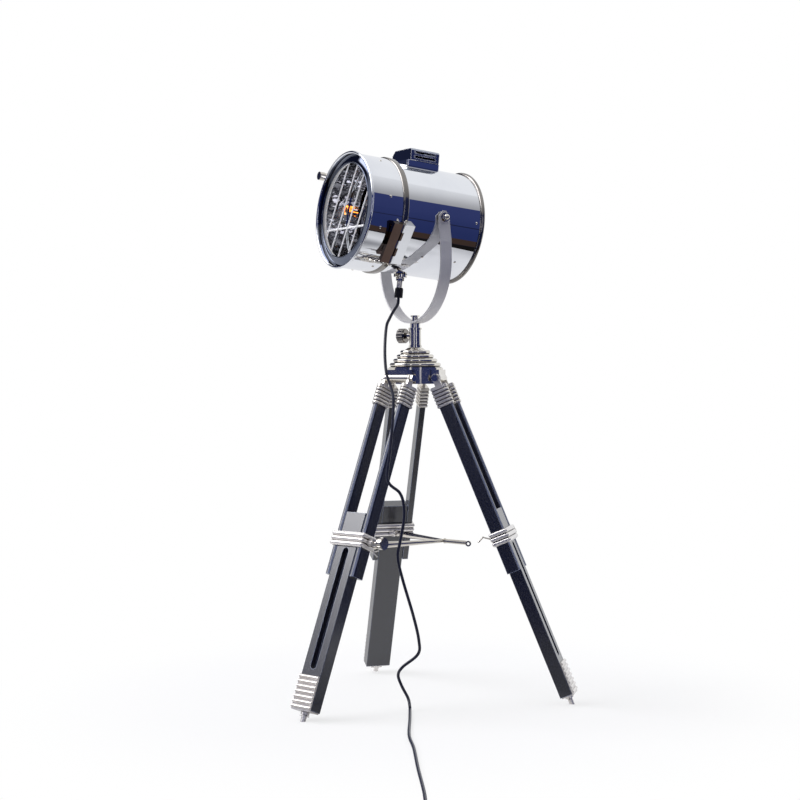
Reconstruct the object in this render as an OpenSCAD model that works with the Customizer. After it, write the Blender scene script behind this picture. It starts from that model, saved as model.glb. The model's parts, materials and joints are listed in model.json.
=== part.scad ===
// Tripod spotlight floor lamp: a drum spotlight with a hinged front door in a
// horseshoe yoke, on a stepped crown with three folding, telescoping timber legs.
// Origin: the floor point under the crown axis. +Z up, the head faces -Y.
// The rest pose has the head tilted up a little and the legs fully spread.

/* [Head drum] */
// Height of the tilt axis over the floor
pivot_z = 1020; // [980:1:1060]
// Upward tilt of the head at rest, in degrees
head_tilt = 6.2; // [0:0.1:12]
// Outer radius of the drum
drum_r = 116; // [112:0.5:117]
// Thickness of the drum's sheet
sheet_t = 1.4; // [1:0.1:2]
// Distance from the tilt axis forward to the seam of the front door
seam_d = 98; // [94:1:104]
// Distance from the tilt axis back to the rear end of the drum
rear_d = 98; // [90:1:110]
// Height of the rear rim's bead over the drum
rim_h = 5; // [3:0.5:7]
// Diameter of the rear rim's rolled bead
rim_bead = 10; // [6:0.5:12]
// Height of the collar at the front of the drum over the drum
band_h = 7.5; // [5:0.5:8]
// Width of that collar along the drum
band_w = 14; // [10:0.5:20]

/* [Front door] */
// Step from the drum up to the door's barrel
door_h = 4.5; // [2:0.5:6]
// Length of the door from the seam to the front lip
door_l = 76; // [60:1:90]
// Height of the rolled front lip over the door's barrel
lip_h = 3.5; // [1.5:0.5:4.5]
// Radius of the light opening
opening_r = 99; // [85:1:104]
// Number of grille bars
grille_bars = 4; // [2:1:6]
// Distance between the grille bars
grille_pitch = 38; // [30:1:40]
// Width of a grille bar
grille_bar_w = 3; // [2:0.2:6]
// Turn of the grille bars from upright, in degrees
grille_turn = 26; // [0:1:45]
// Angle of the door hinge below the level of the drum axis, in degrees
hinge_angle = 32; // [26:1:38]
// Length of the door hinge
hinge_l = 90; // [60:1:100]
// Radius of the hinge knuckles
knuckle_r = 4.5; // [3.5:0.5:6]
// Angle of the latch above the level of the drum axis, in degrees
latch_angle = 35; // [20:1:40]
// Distance of the latch screw out from the door's barrel
latch_h = 24; // [18:1:28]

/* [Top vent] */
// Width of the vent box across the drum
vent_w = 80; // [60:1:90]
// Length of the vent box along the drum
vent_l = 69; // [50:1:80]
// Height of the vent box over its base plate
vent_h = 25; // [22:1:40]
// Distance from the tilt axis forward to the vent box's middle
vent_d = 11; // [0:1:20]

/* [Lamp] */
// Radius of the bulb
bulb_r = 30; // [25:1:35]
// Width of the flat rim between the reflector's mouth and the drum
mouth_w = 8; // [5:0.5:14]

/* [Yoke] */
// Gap between the drum and the yoke strap at the tilt bolts
yoke_gap = 4; // [3:0.5:8]
// How much wider each side of the yoke is below the tilt bolts
yoke_flare = 6; // [3:0.5:8]
// Width of the yoke strap
strap_w = 26; // [20:1:30]
// Thickness of the yoke strap
strap_t = 4; // [3:0.5:5]
// Drop from the tilt axis to the bottom of the yoke
yoke_drop = 215; // [205:1:225]

/* [Crown] */
// Radius of the crown's base plate
crown_r = 59.5; // [56:0.5:64]
// Height of the crown plate's underside over the floor
crown_z = 704; // [700:1:708]
// Number of stepped discs on the crown
tiers = 4; // [3:1:5]
// Height of one stepped disc
tier_h = 9; // [7:0.5:10]
// Radius of the barrel above the crown
barrel_r = 12.5; // [10:0.5:16]

/* [Tripod] */
// Angle of the front left leg around the crown axis, in degrees
leg_turn = -73.6; // [-90:0.1:-60]
// Outward lean of the legs, in degrees
leg_splay = 22.4; // [18:0.1:24]
// Distance of the leg hinges from the crown axis
leg_hinge_r = 52; // [50:1:58]
// Height of the leg hinges over the floor
leg_hinge_z = 686; // [680:1:688]
// Width of a rail, round the crown
rail_w = 13; // [10:0.5:14]
// Depth of a rail, out from the crown
rail_d = 30; // [24:1:34]
// Distance along the leg from its hinge to the rails' lower end
rail_end = 439; // [420:1:460]
// Width of the sliding lower leg
plank_w = 56; // [48:1:60]
// Thickness of the sliding lower leg
plank_d = 27; // [22:1:28]
// Distance along the leg from its hinge to the lower leg's top
plank_top = 304; // [290:1:320]
// Distance along the leg from its hinge to the lower leg's bottom end
plank_end = 720; // [700:1:724]
// Width of the groove in the lower leg
groove_w = 17; // [10:1:20]
// Depth of the groove in the lower leg
groove_d = 13; // [6:1:16]
// Distance along the leg from its hinge to the clamp's middle
clamp_s = 362; // [355:1:380]
// Height of the clamp
clamp_h = 30; // [24:1:36]
// Number of ribs on a clamp
clamp_ribs = 3; // [2:1:4]
// Number of ribs on a foot plate
foot_ribs = 7; // [5:1:8]
// Radius of the clamp screw's knob
knob_r = 12.5; // [10:0.5:15]

/* [Spreader] */
// Distance from the crown axis to the spreader's hub, towards the right leg
hub_r = 61; // [50:1:70]
// Radius of a rod at its thick end
rod_r = 7.5; // [5:0.5:9]
// Radius of a rod at its thin end
rod_tip_r = 3.5; // [2.5:0.5:5]

/* [Mains lead] */
// Width of the twin mains lead
cord_d = 6.4; // [5:0.2:7]
// Number of loops in the stored coil
coil_loops = 4; // [2:2:6]
// Radius of the coil at the middle of its turns
coil_r = 37; // [32:1:42]

/* [Hidden] */

$fn = 64;
CHROME = "gainsboro";
NICKEL = "silver";
SATIN = "darkgray";
TIMBER = "midnightblue";
BLACK = "#1c1c22";
AMBER = "orange";

rim_r = drum_r + rim_h;              // radius over the rear rim's bead
band_r = drum_r + band_h;            // radius over the collar
door_r = drum_r + door_h;            // outer radius of the door's barrel
lip_r = door_r + lip_h;              // radius over the front lip
latch_r = door_r + latch_h;          // distance of the latch screw from the drum axis
reflector_r = drum_r - mouth_w;      // radius of the reflector's mouth
yoke_top_half_w = drum_r + yoke_gap + strap_t / 2;      // half width of the yoke at the tilt bolts
yoke_half_w = yoke_top_half_w + yoke_flare;             // and below them, to the middle of the strap
play = 0.3;          // gap between pieces that seat on or slide past each other
pin_play = 0.1;      // radial gap of a turning pin
leg_azimuth = [leg_turn, leg_turn + 120, leg_turn + 240];
slide_play = 0.4;    // side gap of a lower leg between its rails
rail_t = plank_w / 2 + slide_play + rail_w / 2;   // middle of a rail, round the crown
lip_d = seam_d + door_l;                    // the front lip's distance from the tilt axis

// ---------------------------------------------------------------- frames
// The head's own frame: origin on the tilt axis, -Y forward along the drum.
module head_frame() {
    translate([0, 0, pivot_z]) rotate([-head_tilt, 0, 0]) children();
}
// Turned shapes of the head: local +Z becomes forward.
module turned() {
    head_frame() rotate([90, 0, 0]) children();
}
// A frame on the drum at an angle round its axis, counted up from the +X side:
// local X points out from the axis, Y along the tangent, Z forward.
module round_drum(angle) {
    turned() rotate([0, 0, angle]) children();
}
// A leg's own frame: origin on its hinge, -Z down the leg, X outward, Y round the crown.
module leg_frame(i) {
    rotate([0, 0, leg_azimuth[i]]) translate([leg_hinge_r, 0, leg_hinge_z])
        rotate([0, -leg_splay, 0]) children();
}

// ---------------------------------------------------------------- shared shapes
// A rectangle with round corners, about its middle.
module round_rect(w, d, r) {
    square([w - 2 * r, d], center = true);
    square([w, d - 2 * r], center = true);
    for (x = [-1, 1], y = [-1, 1]) translate([x * (w / 2 - r), y * (d / 2 - r)]) circle(r);
}
// A cylinder along X, Y or Z about its middle.
module rod_x(r, l) { rotate([0, 90, 0]) cylinder(r = r, h = l, center = true); }
module rod_y(r, l) { rotate([90, 0, 0]) cylinder(r = r, h = l, center = true); }
// A turned ring with a square section from radius a to b and from height u to v.
module ring(a, b, u, v) {
    rotate_extrude() translate([a, u]) square([b - a, v - u]);
}
// A turned bead: a full round section on the circle of radius r.
module bead(r, section_r, z) {
    rotate_extrude() translate([r, z]) circle(section_r);
}
// A small pan-head screw standing on z = 0.
module small_screw(r, stem) {
    translate([0, 0, -stem]) cylinder(r = r * 0.5, h = stem);
    intersection() {
        translate([0, 0, -r * 0.6]) sphere(r * 1.17);
        cylinder(r = r, h = r);
    }
}
screw_r = 2.8;                  // radius of a small screw's head
// The hole for a small screw's stem, along X.
module rod_hole() { rotate([0, 90, 0]) cylinder(r = screw_r / 2 + 0.1, h = 16, $fn = 24); }
// A hexagon nut from z = 0 upwards, with its bore.
module hex_nut(r, h, bore) {
    difference() {
        cylinder(r = r, h = h, $fn = 6);
        translate([0, 0, -1]) cylinder(r = bore, h = h + 2, $fn = 32);
    }
}

// ---------------------------------------------------------------- head drum
gland_d = 23;                   // the gland's distance forward of the tilt axis
gland_r = 9;                    // radius of the gland's thread
bolt_r = 5;                     // radius of a tilt bolt
vent_hole = [46, 40];           // outlet under the vent box
module drum_shell() {
    color(CHROME) difference() {
        turned() ring(drum_r - sheet_t, drum_r, -rear_d, seam_d - 1);
        head_frame() rod_x(bolt_r + pin_play, 3 * drum_r);
        head_frame() translate([0, -gland_d, -drum_r]) cylinder(r = gland_r + pin_play, h = 40, center = true);
        head_frame() translate([0, -vent_d, drum_r]) cube([vent_hole[0], vent_hole[1], 60], center = true);
        for (p = drum_screw_at) round_drum(p[0]) translate([drum_r - 8, 0, p[1]]) rod_hole();
    }
}
rear_disc_t = 1.5;
module rear_cap() {
    color(CHROME) turned() {
        difference() {
            bead(rim_r - rim_bead / 2, rim_bead / 2, -rear_d);
            ring(drum_r - sheet_t, drum_r + play, -rear_d, rear_d);
            cylinder(r = drum_r - sheet_t, h = rear_d);
        }
        ring(0, rim_r - rim_bead / 2, -rear_d - rear_disc_t, -rear_d);
        ring(drum_r - sheet_t - play - 1.5, drum_r - sheet_t - play, -rear_d - 0.5, -rear_d + 8);
        ring(drum_r - 36, drum_r - 30, -rear_d - rear_disc_t - 1.2, -rear_d);
    }
}
module band_ring() {
    edge = 3.5;
    color(CHROME) turned() rotate_extrude() {
        translate([drum_r + play, seam_d - band_w])
            square([band_r - drum_r - play - edge, band_w]);
        translate([drum_r + play, seam_d - band_w + edge])
            square([band_r - drum_r - play, band_w - 2 * edge]);
        for (u = [seam_d - band_w + edge, seam_d - edge]) translate([band_r - edge, u]) circle(edge);
    }
}
saddle_t = 4;
vent_seat = drum_r + play;      // height of the vent's saddle over the drum axis
module vent_base() {
    color(CHROME) head_frame() translate([0, -vent_d, 0]) difference() {
        translate([0, 0, drum_r - 6]) linear_extrude(6 + saddle_t + 3)
            round_rect(vent_w - 6, vent_l + 10, 4);
        rod_y(vent_seat, vent_l + 40);
        cube([vent_hole[0], vent_hole[1], 3 * drum_r], center = true);
    }
}
vent_floor = drum_r + saddle_t + 3;         // height of the vent box's foot over the drum axis
vent_wall = 1.6;
vent_slots = 2;
slot_l = 50;
slot_w = 4.6;
slot_rim = 1.3;                 // width and height of the raised rim round a slot
// The vent box's section: its top edges are bevelled, the far one more than the near one.
module vent_outline(inset, foot) {
    w = vent_w / 2 - inset;
    h = vent_h - inset;
    near_bevel = 4;
    far_bevel = 10;
    polygon([[-w, foot], [w, foot], [w, h - near_bevel], [w - near_bevel, h],
             [-w + far_bevel, h], [-w, h - far_bevel]]);
}
module vent_box() {
    color(CHROME) head_frame() translate([0, -vent_d, vent_floor]) difference() {
        union() {
            rotate([90, 0, 0]) linear_extrude(vent_l, center = true) vent_outline(0, 0);
            for (s = [-1, 1], k = [0 : vent_slots - 1])
                translate([s * (vent_w / 2 - vent_wall / 2), 0, vent_h * (0.3 + 0.37 * k)]) rotate([90, 0, 90])
                    linear_extrude(vent_wall + 2 * slot_rim, center = true)
                        round_rect(slot_l + 2 * slot_rim, slot_w + 2 * slot_rim, slot_w / 2);
        }
        rotate([90, 0, 0]) linear_extrude(vent_l - 2 * vent_wall, center = true)
            vent_outline(vent_wall, -1);
        for (k = [0 : vent_slots - 1]) translate([0, 0, vent_h * (0.3 + 0.37 * k)])
            rotate([90, 0, 90]) linear_extrude(vent_w * 2, center = true)
                round_rect(slot_l, slot_w, slot_w / 2 - 0.05);
    }
}

// ---------------------------------------------------------------- lamp inside
reflector_t = 1.2;
reflector_back = -22;
bowl_depth = 96;
bowl_steps = 7;
function bowl_r(u) = 26 + (reflector_r - 26) * sqrt(u);      // radius at the share u of the depth
module reflector() {
    profile = concat(
        [for (k = [0 : bowl_steps]) [bowl_r(k / bowl_steps), reflector_back + bowl_depth * k / bowl_steps]],
        [[drum_r - sheet_t - play, reflector_back + bowl_depth],
         [drum_r - sheet_t - play, reflector_back + bowl_depth - 6],
         [drum_r - sheet_t - play - 1.5, reflector_back + bowl_depth - 6],
         [drum_r - sheet_t - play - 1.5, reflector_back + bowl_depth - 1.5]],
        [for (k = [bowl_steps : -1 : 0])
            [bowl_r(k / bowl_steps), reflector_back - 1.6 + bowl_depth * k / bowl_steps]]);
    color(SATIN) turned() rotate_extrude() polygon(profile);
}
holder_r = 19;                  // radius of the lamp holder
holder_back = -rear_d + 34 + play;
holder_l = 40;
holder_bore = 14.5;
bracket_w = 28;
bulb_base = holder_back + 12;   // where the bulb's cap starts
cap_l = 28.6;                   // length of the bulb's screw cap
cap_r = 13;
neck_d = bulb_base + cap_l + 2.4;           // where the glass starts
neck_r = 16;
ball_l = 84;                    // height of the middle of the bulb's ball over its cap's start
bulb_mid = bulb_base + ball_l;
glass_t = 1.2;
stem_l = 50;                    // height of the filaments' lower end over the cap's start
filament_l = 46;
module socket_bracket() {
    back = -rear_d + play;
    color(SATIN) turned() difference() {
        union() {
            translate([-bracket_w / 2, -50, back]) cube([bracket_w, 100, 2]);
            for (s = [-1, 1]) translate([-bracket_w / 2, s * 26 - 1, back]) cube([bracket_w, 2, holder_back - back]);
            translate([-bracket_w / 2, -27, holder_back - play - 2]) cube([bracket_w, 54, 2]);
        }
        translate([0, 0, back + 20]) cylinder(r = 5, h = 40);
    }
}
module lamp_holder() {
    color(BLACK) turned() difference() {
        union() {
            translate([0, 0, holder_back]) cylinder(r = holder_r, h = holder_l);
            translate([0, 0, holder_back + holder_l - 10]) cylinder(r = holder_r + 2.5, h = 8);
            translate([0, 0, holder_back - 14]) cylinder(r = 4.8, h = 20);
        }
        translate([0, 0, bulb_base - 2]) cylinder(r = holder_bore, h = 2 * holder_l);
    }
}
module bulb_cap() {
    threads = 5;
    color("silver") turned() {
        translate([0, 0, bulb_base - 2]) cylinder(r = 5, h = 6);
        for (k = [0 : threads - 1]) translate([0, 0, bulb_base + 3.6 + k * 4.6]) cylinder(r = cap_r + 0.8, h = 3);
        translate([0, 0, bulb_base + 3]) cylinder(r = cap_r, h = cap_l - 1);
        translate([0, 0, bulb_base + cap_l]) cylinder(r = neck_r - 0.4, h = neck_d - bulb_base - cap_l - play);
    }
    color(AMBER) turned() {
        translate([0, 0, bulb_base + cap_l]) cylinder(r = 5.5, h = stem_l - cap_l);
        for (a = [0 : 60 : 359]) rotate([0, 0, a]) translate([9, 0, bulb_base + stem_l]) cylinder(r = 1, h = filament_l);
        translate([0, 0, bulb_base + stem_l - 1]) cylinder(r = 10.5, h = 1.5);
        translate([0, 0, bulb_base + stem_l + filament_l - 1]) cylinder(r = 10.5, h = 1.2);
    }
}
module bulb_glass() {
    cone_l = bulb_mid - 10 - neck_d;            // the glass widens from the neck to the ball
    color("white", 0.3) turned() difference() {
        union() {
            translate([0, 0, bulb_mid]) sphere(bulb_r);
            translate([0, 0, neck_d]) cylinder(r1 = neck_r, r2 = bulb_r * 0.94, h = cone_l);
        }
        translate([0, 0, bulb_mid]) sphere(bulb_r - glass_t);
        translate([0, 0, neck_d - 0.1])
            cylinder(r1 = neck_r - glass_t, r2 = bulb_r * 0.94 - glass_t, h = cone_l + 0.2);
    }
}

// ---------------------------------------------------------------- door hinge and latch
hinge_r = max(band_r, door_r) + knuckle_r + 0.5;         // distance of the hinge pin from the drum axis
knuckles = 5;
knuckle_l = hinge_l / knuckles;
leaf_t = 2;
pin_r = 2;
leaf_l = 24;                    // how far a leaf reaches along the drum from the pin
leaf_cut = 5 * leaf_l;          // length of the cuts that fit a leaf to the barrel
module knuckle_row(first) {
    for (k = [first : 2 : knuckles - 1])
        translate([0, -hinge_l / 2 + (k + 0.5) * knuckle_l, 0]) rod_y(knuckle_r, knuckle_l - 2 * play);
}
// One hinge leaf in the hinge frame; side = 1 lies forward on the door, -1 back on the drum.
module hinge_leaf(side, first, seat_r) {
    slots = [for (k = [1 - first : 2 : knuckles - 1]) -hinge_l / 2 + (k + 0.5) * knuckle_l];
    difference() {
        union() {
            translate([hinge_r, 0, seam_d]) knuckle_row(first);
            // plate and packing block that fill the space down to the barrel
            translate([seat_r, -hinge_l / 2, side > 0 ? seam_d + 1 : seam_d - leaf_l])
                cube([hinge_r + knuckle_r - leaf_t - seat_r, hinge_l, leaf_l - 1]);
        }
        for (y = slots) translate([hinge_r, y, seam_d]) rod_y(knuckle_r + 0.6, knuckle_l);
        translate([hinge_r, 0, seam_d]) rod_y(pin_r + (side > 0 ? 0 : pin_play), hinge_l + 2);
        // the packing block is hollowed to the barrel's round, and clear of the collar
        translate([0, 0, side > 0 ? seam_d - leaf_cut / 2 : seam_d - band_w - play])
            cylinder(r = side > 0 ? seat_r : band_r + play, h = leaf_cut);
    }
}
module drum_hinge_leaf() {
    color(CHROME) round_drum(-hinge_angle) difference() {
        hinge_leaf(-1, 0, drum_r - 10);
        // the leaf stands on the drum behind the collar
        translate([0, 0, seam_d - leaf_cut / 2]) cylinder(r = drum_r + play, h = leaf_cut);
    }
}
module door_hinge_leaf() {
    color(CHROME) round_drum(-hinge_angle) hinge_leaf(1, 1, door_r + play);
}
module door_hinge_pin() {
    color(NICKEL) round_drum(-hinge_angle) translate([hinge_r, 0, seam_d]) {
        rod_y(pin_r - 0.02, hinge_l + 4);
        for (s = [-1, 1]) translate([0, s * (hinge_l / 2 + 3.6), 0]) sphere(3.4);
        translate([0, hinge_l / 2 + 7.6, 0]) sphere(2.2);
    }
}
lug_w = 52;
lug_t = 5;
lug_top = latch_r + 11;
latch_shank = 3;
latch_hole = latch_shank + 0.7;
door_lug_d = lip_d - 23;        // the front face of the door's lug
drum_lug_d = seam_d - band_w - 0.5;         // the front face of the drum's lug
// A lug plate that stands out from the barrel, with its hole on the latch screw's axis.
module lug_plate(seat_r, face_d, hole_r) {
    difference() {
        translate([seat_r - 4, -lug_w / 2, face_d - lug_t]) cube([lug_top - seat_r + 4, lug_w, lug_t]);
        translate([0, 0, face_d - 20]) cylinder(r = seat_r, h = 40);
        translate([latch_r, 0, face_d - 20]) cylinder(r = hole_r, h = 40);
        for (s = [-1, 1]) translate([lug_top, s * lug_w / 2, face_d - lug_t / 2])
            rotate([0, 0, 45]) cube([9, 9, 2 * lug_t], center = true);
    }
}
module drum_latch_lug() {
    color(CHROME) round_drum(180 - latch_angle) {
        lug_plate(drum_r + play, drum_lug_d, latch_hole);
    }
}
module door_latch_lug() {
    color(CHROME) round_drum(180 - latch_angle) {
        lug_plate(door_r + play, door_lug_d, latch_shank + pin_play);
    }
}
module latch_screw() {
    tip_d = drum_lug_d - lug_t / 2;
    color(NICKEL) round_drum(180 - latch_angle) translate([latch_r, 0, 0]) {
        translate([0, 0, tip_d]) cylinder(r = latch_shank, h = door_lug_d - tip_d + 2);
        translate([0, 0, door_lug_d + play]) cylinder(r = 6.5, h = 15);
        translate([0, 0, door_lug_d + 15]) cylinder(r = 9, h = 12);
        for (z = [door_lug_d + 4, door_lug_d + 9]) translate([0, 0, z]) ring(6, 7.4, 0, 2);
        translate([0, 0, door_lug_d - lug_t - play - 3]) cylinder(r = 5.2, h = 3);
    }
}

// ---------------------------------------------------------------- fixings on the drum
gland_pipe = 32;
relief_l = 21;
module cable_gland() {
    color(NICKEL) head_frame() translate([0, -gland_d, 0]) difference() {
        union() {
            translate([0, 0, -drum_r - play - 6]) cylinder(r = 14, h = 6);
            translate([0, 0, -drum_r - 10]) cylinder(r = gland_r, h = 20);
            translate([0, 0, -drum_r + sheet_t + 2]) cylinder(r = 13, h = 5, $fn = 6);
            translate([0, 0, -drum_r - gland_pipe]) cylinder(r = 6, h = gland_pipe);
            translate([0, 0, -drum_r - 14]) cylinder(r = 8.5, h = 8, $fn = 6);
        }
        translate([0, 0, -drum_r - gland_pipe - 1]) cylinder(r = cord_d / 2 + 0.8, h = gland_pipe + 40);
    }
}
relief_top = -drum_r - gland_pipe + 6;
module strain_relief() {
    color(BLACK) head_frame() translate([0, -gland_d, 0]) difference() {
        union() {
            translate([0, 0, relief_top - relief_l - 3]) cylinder(r = 8.8, h = relief_l - 3);
            translate([0, 0, relief_top - 6]) cylinder(r1 = 8.8, r2 = 7.5, h = 3, $fn = 48);
        }
        translate([0, 0, relief_top - 6]) cylinder(r = 6 + pin_play / 2, h = 20);
    }
}
relief_end = relief_top - relief_l - 3;     // the height where the lead leaves, over the drum axis
module tilt_bolts() {
    face = yoke_top_half_w + strap_t / 2;
    color(NICKEL) head_frame() for (s = [0, 1]) mirror([s, 0, 0]) {
        translate([drum_r - sheet_t - 8, 0, 0]) rotate([0, 90, 0])
            cylinder(r = bolt_r, h = face + 8 - drum_r + sheet_t + 8);
        translate([drum_r - sheet_t - 6 - play, 0, 0]) rotate([0, 90, 0]) hex_nut(9, 6, bolt_r - 0.1);
        translate([face + play, 0, 0]) rotate([0, 90, 0]) ring(bolt_r - 0.1, 9.5, 0, 2);
        translate([face + play + 2, 0, 0]) rotate([0, 90, 0]) cylinder(r = 8.5, h = 7, $fn = 6);
        translate([face + play + 8, 0, 0]) sphere(6.2);
        // spacer washer between the drum and the strap
        translate([drum_r + 0.8, 0, 0]) rotate([0, 90, 0])
            ring(bolt_r - 0.1, 11, 0, yoke_top_half_w - strap_t / 2 - play - drum_r - 0.8);
    }
}
drum_screw_at = [[-46, -60], [-46, 20], [135, 55], [135, -55], [0, -84], [180, -84], [90, -84], [270, -84]];
module drum_screws() {
    color(NICKEL) for (p = drum_screw_at) round_drum(p[0])
        translate([drum_r + 0.05, 0, p[1]]) rotate([0, 90, 0]) small_screw(screw_r, 5);
}

// ---------------------------------------------------------------- front door
module door_barrel() {
    roll = 3;
    color(CHROME) turned() difference() {
        union() {
            ring(door_r - sheet_t, door_r, seam_d + play, lip_d - roll);
            bead(lip_r - roll, roll, lip_d - roll);
            ring(door_r - 6, door_r - 0.5, seam_d + play, seam_d + play + sheet_t);
        }
        ring(0, door_r - sheet_t, seam_d + play + sheet_t, lip_d - roll);
        for (p = door_screw_at) rotate([0, 0, p[0]]) translate([door_r - 8, 0, seam_d + p[1]]) rod_hole();
    }
}
bezel_top = lip_d - 4;          // front of the bezel at its inner edge
bezel_out = door_r - sheet_t - play;        // its outer radius
bezel_lean = [8, 18];           // how much its domed face leans outwards at the inner and the outer edge
bezel_bend = (bezel_out - opening_r) / (sin(bezel_lean[1]) - sin(bezel_lean[0]));
bezel_drop = bezel_bend * (cos(bezel_lean[0]) - cos(bezel_lean[1]));
bezel_t = 1.6;
module door_bezel() {
    color("navy") turned() {
        rotate_extrude() intersection() {
            translate([opening_r - bezel_bend * sin(bezel_lean[0]), bezel_top - bezel_bend * cos(bezel_lean[0])])
                difference() {
                    circle(bezel_bend, $fn = 360);
                    circle(bezel_bend - bezel_t, $fn = 360);
                }
            translate([opening_r, bezel_top - bezel_drop - 2 * bezel_t])
                square([bezel_out - opening_r, bezel_drop + 3 * bezel_t]);
        }
        bead(opening_r + 0.8, bezel_t, bezel_top - 0.8);
        ring(bezel_out - 1.5, bezel_out, lip_d - 20, bezel_top - bezel_drop - 0.5);
    }
}
bar_t = 1.5;
grille_d = lip_d - 11;
module door_grille() {
    seat = door_r - sheet_t - play - 2.5;
    color(CHROME) turned() rotate([0, 0, -grille_turn]) {
        for (k = [0 : grille_bars - 1]) {
            x = (k - (grille_bars - 1) / 2) * grille_pitch;
            half = sqrt(pow(opening_r + 6, 2) - x * x);
            translate([x, 0, grille_d - bar_t]) rod_y(grille_bar_w / 2, 2 * half);
        }
        rotate([0, 0, grille_turn]) translate([0, -36, grille_d - bar_t - 2.2]) rod_x(2.2, 2 * sqrt(pow(seat - 8, 2) - 36 * 36));
        ring(opening_r + 4, door_r - sheet_t - play - 1.5 - play, grille_d - bar_t - 3, grille_d - bar_t);
    }
}
door_screw_at = [[-20, 45], [12, 30], [-70, 16], [-100, 30], [150, 14], [110, 30], [60, 30], [-150, 30]];
module door_screws() {
    color(NICKEL) for (p = door_screw_at) round_drum(p[0])
        translate([door_r + 0.05, 0, seam_d + p[1]]) rotate([0, 90, 0]) small_screw(screw_r, 5);
}

// ---------------------------------------------------------------- yoke
strap_bend_z = -50;             // where the straight cheek meets the horseshoe
bend_r = yoke_half_w;
arc_z = -(yoke_drop - bend_r);  // height of the horseshoe's centre, from the tilt axis
spindle_r = 8;
lap = 0.06;                     // how much a cheek laps over the horseshoe's end on each side
module cheek_line(t) {
    // the strap's outline on one side, between the bolt and the horseshoe
    polygon([[yoke_top_half_w - t, 14], [yoke_top_half_w + t, 14],
             [yoke_top_half_w + t, -14], [yoke_half_w + t + lap, strap_bend_z],
             [yoke_half_w + t + lap, arc_z - 2], [yoke_half_w - t - lap, arc_z - 2],
             [yoke_half_w - t - lap, strap_bend_z], [yoke_top_half_w - t, -14]]);
}
module yoke_strap() {
    t = strap_t / 2;
    color(SATIN) translate([0, 0, pivot_z]) difference() {
        union() {
            for (s = [0, 1]) mirror([s, 0, 0]) rotate([90, 0, 0])
                linear_extrude(strap_w, center = true) cheek_line(t);
            translate([0, 0, arc_z]) rotate([90, 0, 0]) rotate([0, 0, 180])
                rotate_extrude(angle = 180, $fn = 128) translate([bend_r - t, -strap_w / 2])
                    square([2 * t, strap_w]);
        }
        rod_x(bolt_r + pin_play, 4 * bend_r);
        translate([0, 0, -yoke_drop - 10]) cylinder(r = bolt_r + pin_play, h = 30);
        // the cheeks' tops are rounded to the bolt
        for (s = [-1, 1], m = [-1, 1]) translate([s * yoke_top_half_w, m * strap_w / 2, 14])
            rotate([45, 0, 0]) cube([20, 14, 14], center = true);
    }
}
collar_top = pivot_z - yoke_drop - strap_t / 2 - play;
barrel_top = collar_top - 9;
module yoke_spindle() {
    color(NICKEL) difference() {
        union() {
            translate([0, 0, barrel_top + play]) cylinder(r = barrel_r - 1.5, h = collar_top - barrel_top - play);
            translate([0, 0, barrel_top - 34]) cylinder(r = spindle_r, h = 40);
        }
        translate([0, 0, collar_top - 26]) cylinder(r = bolt_r, h = 40);
    }
}
module yoke_bolt() {
    strap_top = pivot_z - yoke_drop + strap_t / 2;
    color(NICKEL) {
        translate([0, 0, collar_top - 25]) cylinder(r = bolt_r - 0.1, h = strap_top - collar_top + 25 + 10);
        translate([0, 0, strap_top + play]) ring(bolt_r - 0.2, 10, 0, 1.8);
        translate([0, 0, strap_top + 2.2]) cylinder(r = 7, h = 8);
        translate([0, 0, strap_top + 10]) cylinder(r = 9.5, h = 3, $fn = 6);
    }
}

// ---------------------------------------------------------------- crown
crown_plate_t = 6;
tiers_z = crown_z + crown_plate_t;
tier_step = 7.6;
barrel_z = tiers_z + tiers * tier_h;
pan_z = barrel_top - 17;        // height of the pan screw
pan_turn = -149;                // the pan screw points this way round the crown
module crown_top() {
    color(NICKEL) difference() {
        union() {
            translate([0, 0, crown_z]) cylinder(r = crown_r, h = crown_plate_t - 2);
            translate([0, 0, crown_z]) cylinder(r = crown_r - 3, h = crown_plate_t);
            for (k = [0 : tiers - 1]) {
                r = crown_r - 4.5 - k * tier_step;
                e = tier_h / 2;
                translate([0, 0, tiers_z + k * tier_h]) rotate_extrude() {
                    translate([spindle_r + 4, 0]) square([r - e - spindle_r - 4, tier_h]);
                    translate([r - e, e]) circle(e);
                }
            }
            translate([0, 0, barrel_z - 1]) cylinder(r1 = 24, r2 = 16, h = 6, $fn = 64);
        }
        translate([0, 0, crown_z - 1]) cylinder(r = barrel_r + 0.05, h = 80);
    }
}
module crown_barrel() {
    color(NICKEL) difference() {
        union() {
            translate([0, 0, crown_z]) cylinder(r = barrel_r, h = barrel_top - crown_z);
            for (z = [barrel_z + 6, barrel_top - 4]) translate([0, 0, z]) ring(barrel_r - 1, barrel_r + 1.6, 0, 4);
            rotate([0, 0, pan_turn]) translate([barrel_r + 1, 0, pan_z]) rod_x(7, 7);
        }
        translate([0, 0, barrel_top - 36]) cylinder(r = spindle_r + pin_play, h = 40);
        rotate([0, 0, pan_turn]) translate([spindle_r + 12, 0, pan_z]) rod_x(3 + pin_play, 28);
    }
}
module pan_screw() {
    lobes = 12;
    color(NICKEL) rotate([0, 0, pan_turn]) translate([0, 0, pan_z]) rotate([0, 90, 0]) {
        translate([0, 0, spindle_r + 0.8]) cylinder(r = 3, h = 18);
        translate([0, 0, 18]) cylinder(r = 5.5, h = 4);
        translate([0, 0, 21]) difference() {
            union() {
                cylinder(r = 14, h = 4);
                translate([0, 0, 3]) cylinder(r = 16, h = 14);
                translate([0, 0, 16]) cylinder(r = 13, h = 3);
            }
            for (k = [0 : lobes - 1]) rotate([0, 0, 360 * k / lobes]) translate([17.6, 0, -1])
                cylinder(r = 2.8, h = 30, $fn = 16);
        }
    }
}
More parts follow.
